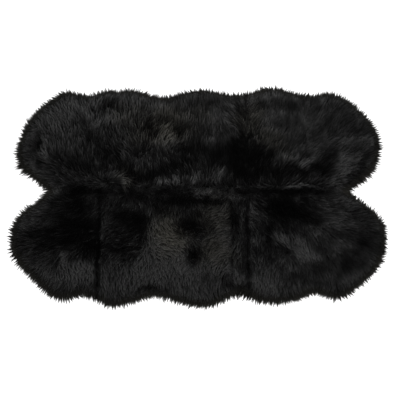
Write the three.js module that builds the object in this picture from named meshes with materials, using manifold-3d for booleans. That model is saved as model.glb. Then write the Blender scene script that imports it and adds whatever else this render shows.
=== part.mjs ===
// A black faux fur rug in the four-pelt shape, lying flat on the floor.
//
// It is cut as two long double pelts of shaggy faux fur, which are sewn to each other along
// their straight inner edges. The seam runs along X at y = 0, so the two scalloped pelts
// leave a notch between them at each end of the rug. +Y is the back, +Z is up, and the
// origin lies on the floor in the middle of the rug. All sizes are in millimetres.
//
// Each pelt is one solid: a lumpy slab as high as the brushed pile, with a rounded shoulder
// and a row of locks of fur that spread over the floor from its rim.

import * as THREE from "three";
import { mergeVertices } from "three/addons/utils/BufferGeometryUtils.js";
import Module from "manifold-3d";

// Driving sizes
const PILE_HEIGHT = 40; // the brushed pile over the middle of a pelt
const RIM_HEIGHT = 11; // the pile right at the cut edge
const SHOULDER_RUN = 62; // how far in from the edge the pile reaches its full height
const SHOULDER_RISE = 42; // a little above the pile, so that the lumps end the shoulder
const SHOULDER_STEPS = 3;
const SEAM_GAP = 0.3; // between the two pelts
const SEAM_TUCK = 45; // how far each outline runs on past the seam before it is trimmed there
const SEAM_DIP = { depth: 19, width: 30 }; // the furrow that the sewing pulls into the pile
const EDGE_STEP = 36; // between the points of the outline
const CELL = 38; // of the grid that carries the lumps
const SOLE_CELLS = { along: 14, across: 4 }; // of the flat underside
const LOCKS_A_PELT = 150;

// The cut edge of each pelt, from the left end of the seam round to the right end. "along"
// is X and "reach" is the distance from the seam. Scallops swell out at about -670, -400,
// 20, 385 and 660 along, and draw in between them.
const BACK_EDGE = [
  { along: -718, reach: 0 },
  { along: -778, reach: 54 },
  { along: -843, reach: 106 },
  { along: -878, reach: 155 },
  { along: -893, reach: 215 },
  { along: -880, reach: 282 },
  { along: -852, reach: 366 },
  { along: -795, reach: 445 },
  { along: -727, reach: 500 },
  { along: -678, reach: 531 },
  { along: -608, reach: 525 },
  { along: -555, reach: 512 },
  { along: -460, reach: 542 },
  { along: -400, reach: 535 },
  { along: -335, reach: 546 },
  { along: -240, reach: 512 },
  { along: -155, reach: 501 },
  { along: -77, reach: 526 },
  { along: 20, reach: 547 },
  { along: 112, reach: 528 },
  { along: 190, reach: 517 },
  { along: 285, reach: 533 },
  { along: 385, reach: 557 },
  { along: 482, reach: 530 },
  { along: 580, reach: 514 },
  { along: 668, reach: 528 },
  { along: 741, reach: 502 },
  { along: 808, reach: 442 },
  { along: 865, reach: 376 },
  { along: 896, reach: 309 },
  { along: 902, reach: 240 },
  { along: 890, reach: 168 },
  { along: 855, reach: 105 },
  { along: 788, reach: 50 },
  { along: 718, reach: 0 },
];
const FRONT_EDGE = [
  { along: -718, reach: 0 },
  { along: -788, reach: 68 },
  { along: -850, reach: 118 },
  { along: -885, reach: 174 },
  { along: -893, reach: 240 },
  { along: -886, reach: 306 },
  { along: -847, reach: 371 },
  { along: -792, reach: 427 },
  { along: -730, reach: 486 },
  { along: -659, reach: 535 },
  { along: -598, reach: 527 },
  { along: -547, reach: 514 },
  { along: -482, reach: 534 },
  { along: -410, reach: 569 },
  { along: -328, reach: 556 },
  { along: -248, reach: 528 },
  { along: -190, reach: 517 },
  { along: -107, reach: 542 },
  { along: -5, reach: 571 },
  { along: 88, reach: 557 },
  { along: 190, reach: 509 },
  { along: 268, reach: 534 },
  { along: 355, reach: 553 },
  { along: 452, reach: 543 },
  { along: 560, reach: 503 },
  { along: 652, reach: 534 },
  { along: 722, reach: 507 },
  { along: 792, reach: 450 },
  { along: 852, reach: 392 },
  { along: 889, reach: 314 },
  { along: 903, reach: 240 },
  { along: 897, reach: 167 },
  { along: 853, reach: 108 },
  { along: 793, reach: 53 },
  { along: 718, reach: 0 },
];

// Where the pile has been brushed up into a hill or lies parted in a hollow.
const HILLS = [
  { x: -740, y: 225, spread: 50, rise: 5 },
  { x: -640, y: 400, spread: 75, rise: 4 },
  { x: -505, y: 385, spread: 55, rise: -6 },
  { x: -600, y: 190, spread: 70, rise: -5 },
  { x: -400, y: 400, spread: 80, rise: 4 },
  { x: -170, y: 335, spread: 70, rise: 5 },
  { x: -85, y: 360, spread: 34, rise: -14 },
  { x: -120, y: 190, spread: 75, rise: -6 },
  { x: 110, y: 190, spread: 90, rise: -7 },
  { x: 270, y: 150, spread: 75, rise: -8 },
  { x: 640, y: 140, spread: 60, rise: -9 },
  { x: 770, y: 175, spread: 60, rise: 4 },
  { x: -640, y: -130, spread: 110, rise: -8 },
  { x: -580, y: -380, spread: 90, rise: 5 },
  { x: -330, y: -140, spread: 65, rise: -7 },
  { x: -165, y: -240, spread: 85, rise: 5 },
  { x: -50, y: -165, spread: 40, rise: -13 },
  { x: -35, y: -320, spread: 40, rise: -14 },
  { x: 290, y: -95, spread: 60, rise: 4 },
  { x: 430, y: -120, spread: 80, rise: -8 },
  { x: 400, y: -290, spread: 55, rise: -8 },
  { x: 520, y: -260, spread: 70, rise: 5 },
  { x: 720, y: -270, spread: 90, rise: 3 },
];

// Creases left across the rug where it was folded for packing: each one runs along Y.
const CREASES = [
  { x: -797, from: 110, to: 330, width: 15, depth: 12 },
  { x: 240, from: 60, to: 600, width: 17, depth: 11 },
  { x: 535, from: 230, to: 480, width: 14, depth: 5 },
  { x: -487, from: -600, to: -80, width: 14, depth: 12 },
  { x: 165, from: -600, to: -220, width: 13, depth: 8 },
  { x: 243, from: -600, to: -120, width: 15, depth: 11 },
];
const CREASE_FADE = 45; // over which a crease dies out at its ends

// Waves of tufts, which no part of a laid rug is without.
const WAVES = [
  { rise: 2.2, alongX: 47, alongY: 71, start: 0.6 },
  { rise: 1.8, alongX: -63, alongY: 38, start: 2.1 },
  { rise: 1.8, alongX: 29, alongY: -44, start: 4.0 },
  { rise: 1.9, alongX: -26, alongY: -25, start: 5.2 },
  { rise: 1.6, alongX: 34, alongY: 21, start: 1.1 },
];

// A lock of rim fur has three sides and a flat underside. "out" is measured from the cut edge.
const LOCK_ROOT_OUT = -16;
const FLOOR_LOCK = {
  root: { halfWidth: 7.4, base: 0, height: 10 },
  bend: { out: 8, halfWidth: 5.8, base: 0, height: 7.5 },
  tip: { out: 23, base: 0 },
};
const SHOULDER_LOCK = {
  root: { halfWidth: 7.4, base: 15, height: 9 },
  bend: { out: 7, halfWidth: 5.8, base: 11, height: 7.5 },
  tip: { out: 20, base: 5 },
};
const LOCK_SCATTER = { turn: 0.2, length: 0.22 }; // in radians, and as a share of the tip's reach
const SEAM_END_CLEAR = 34; // along the edge, from the end of the seam to the first lock
const NOTCH_SIDE = 7; // a lock's tip stays this far on its own side of the seam

const wasm = await Module();
wasm.setup();

// A repeatable number from 0 to 1 for the nth of a row of uneven things.
function uneven(n) {
  const wave = Math.sin(n * 12.9898 + 4.1) * 43758.5453;
  return wave - Math.floor(wave);
}

function bell(distance, spread) {
  return Math.exp(-0.5 * (distance / spread) ** 2);
}

// The height of the brushed pile over the floor, away from the rim.
function pileHeight(x, y) {
  let height = PILE_HEIGHT;
  for (const wave of WAVES) {
    height += wave.rise * Math.sin(x / wave.alongX + y / wave.alongY + wave.start);
  }
  for (const hill of HILLS) {
    height += hill.rise * bell(Math.hypot(x - hill.x, y - hill.y), hill.spread);
  }
  for (const crease of CREASES) {
    const beyond = Math.max(crease.from - y, y - crease.to, 0);
    height -= crease.depth * bell(x - crease.x, crease.width) * bell(beyond, CREASE_FADE);
  }
  return height - SEAM_DIP.depth * bell(y, SEAM_DIP.width);
}

function solidOf(geometry) {
  const bare = geometry.clone();
  bare.deleteAttribute("normal");
  bare.deleteAttribute("uv");
  const merged = mergeVertices(bare, 1e-4);
  return new wasm.Manifold(
    new wasm.Mesh({
      numProp: 3,
      vertProperties: Float32Array.from(merged.attributes.position.array),
      triVerts: Uint32Array.from(merged.index.array),
    }),
  );
}

function geometryOf(solid) {
  const mesh = solid.getMesh();
  const geometry = new THREE.BufferGeometry();
  geometry.setAttribute("position", new THREE.BufferAttribute(mesh.vertProperties, 3));
  geometry.setIndex(new THREE.BufferAttribute(mesh.triVerts, 1));
  geometry.computeVertexNormals();
  return geometry;
}

// The cut edge as a smooth curve on the floor. side is 1 for the back pelt, -1 for the front.
function cutEdge(rows, side) {
  const points = rows.map((row) => new THREE.Vector3(row.along, side * row.reach, 0));
  return new THREE.CatmullRomCurve3(points, false, "centripetal");
}

// The rounded prism that a pelt's pile fills, its outline run on past the seam.
function shoulderedPrism(edge, side) {
  const steps = Math.round(edge.getLength() / EDGE_STEP);
  const points = edge.getSpacedPoints(steps).map((p) => new THREE.Vector2(p.x, p.y));
  const first = points[0];
  const last = points[points.length - 1];
  const tuck = -side * SEAM_TUCK;
  const outline = [
    ...points,
    new THREE.Vector2(last.x - SEAM_TUCK, tuck),
    new THREE.Vector2(first.x + SEAM_TUCK, tuck),
  ];
  const prism = new THREE.ExtrudeGeometry(new THREE.Shape(outline), {
    depth: 2 * RIM_HEIGHT,
    steps: 1,
    bevelEnabled: true,
    bevelThickness: SHOULDER_RISE,
    bevelSize: SHOULDER_RUN,
    bevelOffset: -SHOULDER_RUN,
    bevelSegments: SHOULDER_STEPS,
  });
  return prism.translate(0, 0, -RIM_HEIGHT);
}

// Where the grid's columns stand: evenly spaced, and closer together at a pelt's creases.
function columnsFor(side, halfLength) {
  const columns = [];
  const creases = CREASES.filter((crease) => side * (crease.from + crease.to) > 0);
  for (const crease of creases) {
    columns.push(crease.x - 1.3 * crease.width, crease.x, crease.x + 1.3 * crease.width);
  }
  const closest = CELL * 0.55;
  for (let x = -halfLength; x <= halfLength; x += CELL) {
    if (columns.every((column) => Math.abs(column - x) > closest)) columns.push(x);
  }
  return columns.sort((a, b) => a - b);
}

// A block over the whole pelt with the lumpy top of the pile; it runs on below the floor.
function lumpyBlock(side, halfLength, reach) {
  const columns = columnsFor(side, halfLength);
  const across = columns.length - 1;
  const back = Math.ceil(reach / CELL) + 1;
  const block = new THREE.BoxGeometry(1, 1, 1, across, back, 1);
  const corner = block.attributes.position;
  for (let i = 0; i < corner.count; i += 1) {
    const x = columns[Math.round((corner.getX(i) + 0.5) * across)];
    const fromSeam = corner.getY(i) * side + 0.5;
    const y = side * (fromSeam * (reach + CELL) - CELL);
    corner.setXYZ(i, x, y, corner.getZ(i) > 0 ? pileHeight(x, y) : -RIM_HEIGHT);
  }
  return block;
}

// What the floor and the seam leave of a pelt: everything over z = 0 on its own side.
function sideOfSeam(side, halfLength, reach) {
  const tall = 2 * SHOULDER_RISE;
  const { along, across } = SOLE_CELLS;
  const room = new THREE.BoxGeometry(2 * halfLength, reach, tall, along, across, 1);
  return room.translate(0, side * (SEAM_GAP / 2 + reach / 2), tall / 2);
}

// The three-sided section of a lock where it crosses the line that runs out from the edge.
function lockSection(origin, out, sideways, at, distance) {
  const middle = origin.clone().addScaledVector(out, distance);
  return [
    middle.clone().addScaledVector(sideways, -at.halfWidth).setZ(at.base),
    middle.clone().addScaledVector(sideways, at.halfWidth).setZ(at.base),
    middle.clone().setZ(at.base + at.height),
  ];
}

// A closed lock: its root section, its bend section and its pointed tip.
function lockGeometry(origin, out, form, length) {
  const sideways = new THREE.Vector3(-out.y, out.x, 0);
  const root = lockSection(origin, out, sideways, form.root, LOCK_ROOT_OUT);
  const bend = lockSection(origin, out, sideways, form.bend, form.bend.out);
  const tip = origin.clone().addScaledVector(out, form.tip.out * length).setZ(form.tip.base);
  const corners = [...root, ...bend, tip].flatMap((p) => [p.x, p.y, p.z]);
  const faces = [0, 2, 1];
  for (let i = 0; i < 3; i += 1) {
    const next = (i + 1) % 3;
    faces.push(i, next, i + 3, next, next + 3, i + 3);
    faces.push(i + 3, next + 3, 6);
  }
  const geometry = new THREE.BufferGeometry();
  geometry.setAttribute("position", new THREE.Float32BufferAttribute(corners, 3));
  geometry.setIndex(faces);
  return geometry;
}

// The locks round a pelt's rim, every other one on the floor and the rest from the shoulder.
function rimLocks(edge, side) {
  const length = edge.getLength();
  const first = SEAM_END_CLEAR / length;
  const locks = [];
  for (let n = 0; n < LOCKS_A_PELT; n += 1) {
    const u = first + ((1 - 2 * first) * n) / (LOCKS_A_PELT - 1);
    const origin = edge.getPointAt(u);
    const along = edge.getTangentAt(u);
    const turn = LOCK_SCATTER.turn * (2 * uneven(n + 500 * side) - 1);
    const out = new THREE.Vector3(-side * along.y, side * along.x, 0)
      .applyAxisAngle(new THREE.Vector3(0, 0, 1), turn);
    const form = n % 2 ? SHOULDER_LOCK : FLOOR_LOCK;
    let share = 1 + LOCK_SCATTER.length * (2 * uneven(n * 7 + 90 * side) - 1);
    // Beside the notch the fur parts: a lock there turns along the rug, away from the seam.
    const room = side * origin.y - NOTCH_SIDE;
    const wanted = -side * out.y * form.tip.out * share;
    if (wanted > room) {
      out.y = (-side * Math.max(room, 0)) / (form.tip.out * share);
      out.x = Math.sign(origin.x) * Math.sqrt(1 - out.y * out.y);
    }
    locks.push(lockGeometry(origin, out, form, share));
  }
  return locks;
}

function peltMesh(name, rows, side) {
  const edge = cutEdge(rows, side);
  const halfLength = Math.max(...rows.map((row) => Math.abs(row.along))) + CELL;
  const reach = Math.max(...rows.map((row) => row.reach)) + CELL;
  const slab = solidOf(lumpyBlock(side, halfLength, reach))
    .intersect(solidOf(shoulderedPrism(edge, side)))
    .intersect(solidOf(sideOfSeam(side, halfLength, reach)));
  const locks = rimLocks(edge, side).map(solidOf);
  const pelt = wasm.Manifold.union([slab, ...locks]);
  const blackFur = new THREE.MeshStandardMaterial({
    color: 0x161616,
    roughness: 0.85,
    metalness: 0,
  });
  const mesh = new THREE.Mesh(geometryOf(pelt), blackFur);
  mesh.name = name;
  return mesh;
}

const rug = new THREE.Group();
rug.add(peltMesh("pelt_back", BACK_EDGE, 1));
rug.add(peltMesh("pelt_front", FRONT_EDGE, -1));

export default rug;
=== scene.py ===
# A black faux fur rug of two double pelts, sewn along the seam y = 0 and laid on a pale floor.
# +X runs along the rug, +Y to its back, +Z up. All sizes are in metres.
import math
from collections import namedtuple

import bpy
import numpy as np
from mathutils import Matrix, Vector
from mathutils.geometry import delaunay_2d_cdt


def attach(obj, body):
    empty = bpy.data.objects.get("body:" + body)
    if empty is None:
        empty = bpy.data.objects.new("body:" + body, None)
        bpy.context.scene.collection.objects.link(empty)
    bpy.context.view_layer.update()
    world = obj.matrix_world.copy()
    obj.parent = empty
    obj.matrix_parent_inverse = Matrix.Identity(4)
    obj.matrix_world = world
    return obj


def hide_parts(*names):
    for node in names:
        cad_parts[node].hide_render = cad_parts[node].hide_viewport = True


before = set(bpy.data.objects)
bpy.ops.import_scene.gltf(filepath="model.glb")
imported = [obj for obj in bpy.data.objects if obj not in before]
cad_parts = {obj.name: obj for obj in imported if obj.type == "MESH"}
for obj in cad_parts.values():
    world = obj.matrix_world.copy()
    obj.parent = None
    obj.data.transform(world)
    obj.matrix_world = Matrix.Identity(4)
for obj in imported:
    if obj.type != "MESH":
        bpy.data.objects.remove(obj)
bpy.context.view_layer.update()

scene = bpy.context.scene

# Camera: a long lens, 70 degrees above the floor, that looks a little in front of the middle
CAMERA_AIM = Vector((0.012, -0.042, 0.0))
CAMERA_DISTANCE = 4.9
CAMERA_ELEVATION = math.radians(70)
CAMERA_LENS = 89.28
CAMERA_SENSOR = 36.0

# The pile, as in the solids
PILE_HEIGHT = 0.040
RIM_HEIGHT = 0.011
SHOULDER_RUN = 0.062
SEAM_DIP_DEPTH = 0.016
SEAM_DIP_WIDTH = 0.024
SEAM_GAP = 0.0003

# The two pelts, as the sign of y on each
BACK = 1
FRONT = -1
NAMES = {BACK: "back", FRONT: "front"}

# The cut edge of each pelt: (along the rug, distance from the seam), from the left end of
# the seam round to the right one
BACK_EDGE = [
    (-0.718, 0.000), (-0.778, 0.054), (-0.843, 0.106), (-0.878, 0.155), (-0.893, 0.215),
    (-0.880, 0.282), (-0.852, 0.366), (-0.795, 0.445), (-0.727, 0.500), (-0.678, 0.531),
    (-0.608, 0.525), (-0.555, 0.512), (-0.460, 0.542), (-0.400, 0.535), (-0.335, 0.546),
    (-0.240, 0.512), (-0.155, 0.501), (-0.077, 0.526), (0.020, 0.547), (0.112, 0.528),
    (0.190, 0.517), (0.285, 0.533), (0.385, 0.557), (0.482, 0.530), (0.580, 0.514),
    (0.668, 0.528), (0.741, 0.502), (0.808, 0.442), (0.865, 0.376), (0.896, 0.309),
    (0.902, 0.240), (0.890, 0.168), (0.855, 0.105), (0.788, 0.050), (0.718, 0.000),
]
FRONT_EDGE = [
    (-0.718, 0.000), (-0.788, 0.068), (-0.850, 0.118), (-0.885, 0.174), (-0.893, 0.240),
    (-0.886, 0.306), (-0.847, 0.371), (-0.792, 0.427), (-0.730, 0.486), (-0.659, 0.535),
    (-0.598, 0.527), (-0.547, 0.514), (-0.482, 0.534), (-0.410, 0.569), (-0.328, 0.556),
    (-0.248, 0.528), (-0.190, 0.517), (-0.107, 0.542), (-0.005, 0.571), (0.088, 0.557),
    (0.190, 0.509), (0.268, 0.534), (0.355, 0.553), (0.452, 0.543), (0.560, 0.503),
    (0.652, 0.534), (0.722, 0.507), (0.792, 0.450), (0.852, 0.392), (0.889, 0.314),
    (0.903, 0.240), (0.897, 0.167), (0.853, 0.108), (0.793, 0.053), (0.718, 0.000),
]

# Where the pile is brushed up into a hill or lies in a hollow, and by how much
Hill = namedtuple("Hill", "x y spread rise")
HILLS = [
    Hill(-0.740, 0.225, 0.050, 0.005),
    Hill(-0.640, 0.400, 0.075, 0.004),
    Hill(-0.505, 0.385, 0.055, -0.006),
    Hill(-0.600, 0.190, 0.070, -0.005),
    Hill(-0.400, 0.400, 0.080, 0.004),
    Hill(-0.170, 0.335, 0.070, 0.005),
    Hill(-0.085, 0.360, 0.034, -0.014),
    Hill(-0.120, 0.190, 0.075, -0.006),
    Hill(0.110, 0.190, 0.090, -0.007),
    Hill(0.270, 0.150, 0.075, -0.008),
    Hill(0.640, 0.140, 0.060, -0.009),
    Hill(0.770, 0.175, 0.060, 0.004),
    Hill(-0.640, -0.130, 0.110, -0.008),
    Hill(-0.580, -0.380, 0.090, 0.005),
    Hill(-0.330, -0.140, 0.065, -0.007),
    Hill(-0.165, -0.240, 0.085, 0.005),
    Hill(-0.035, -0.190, 0.040, -0.013),
    Hill(-0.018, -0.345, 0.036, -0.014),
    Hill(0.290, -0.095, 0.060, 0.004),
    Hill(0.430, -0.120, 0.080, -0.008),
    Hill(0.400, -0.290, 0.055, -0.008),
    Hill(0.520, -0.260, 0.070, 0.005),
    Hill(0.720, -0.270, 0.090, 0.003),
]

# Creases across the rug, where it was folded for packing: the place of each along the rug,
# its start and end across it, its width and depth, how far the fur parts, and how dark the
# painted shade in it is
Crease = namedtuple("Crease", "x start end width depth part dark")
CREASES = [
    Crease(-0.800, 0.150, 0.270, 0.012, 0.010, 0.5, 0.45),
    Crease(0.245, 0.190, 0.600, 0.020, 0.009, 1.0, 0.10),
    Crease(0.248, 0.440, 0.600, 0.012, 0.008, 0.6, 0.60),
    Crease(0.545, 0.250, 0.480, 0.014, 0.005, 0.5, 0.15),
    Crease(-0.482, -0.520, -0.080, 0.009, 0.011, 0.35, 0.95),
    Crease(0.164, -0.430, -0.150, 0.008, 0.007, 0.35, 0.60),
    Crease(0.245, -0.520, -0.110, 0.010, 0.010, 0.35, 0.70),
]

# How far a crease fades out past its ends, how far from it the fur still parts, how sharply
# it turns there, how wide the parting is, and how wide and how evenly its painted shade is dark
CREASE_FADE = 0.045
CREASE_REACH = 0.040
CREASE_TURN = 0.008
CREASE_PARTING = 0.011
CREASE_SHADE_WIDTH = 0.007
CREASE_SHADE = 0.8

# Small pits, round which the fur fans out on all sides, and how dark the painted shade in each is
Pit = namedtuple("Pit", "x y spread fan dark")
PITS = [
    Pit(-0.090, 0.326, 0.022, 0.9, 1.2),
    Pit(-0.300, 0.205, 0.024, 1.2, 0.55),
    Pit(0.262, 0.222, 0.036, 1.2, 0.2),
    Pit(-0.034, -0.212, 0.032, 0.8, 0.55),
    Pit(-0.024, -0.356, 0.033, 0.9, 0.95),
    Pit(0.438, -0.318, 0.026, 1.2, 0.5),
    Pit(-0.315, -0.160, 0.034, 0.8, 0.25),
    Pit(-0.540, 0.325, 0.030, 0.9, 0.25),
]

# How wide the fur parts in a pit and fans out round it, as shares of the pit's spread
PIT_PARTING = 0.7
PIT_FAN_REACH = 1.7
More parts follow.
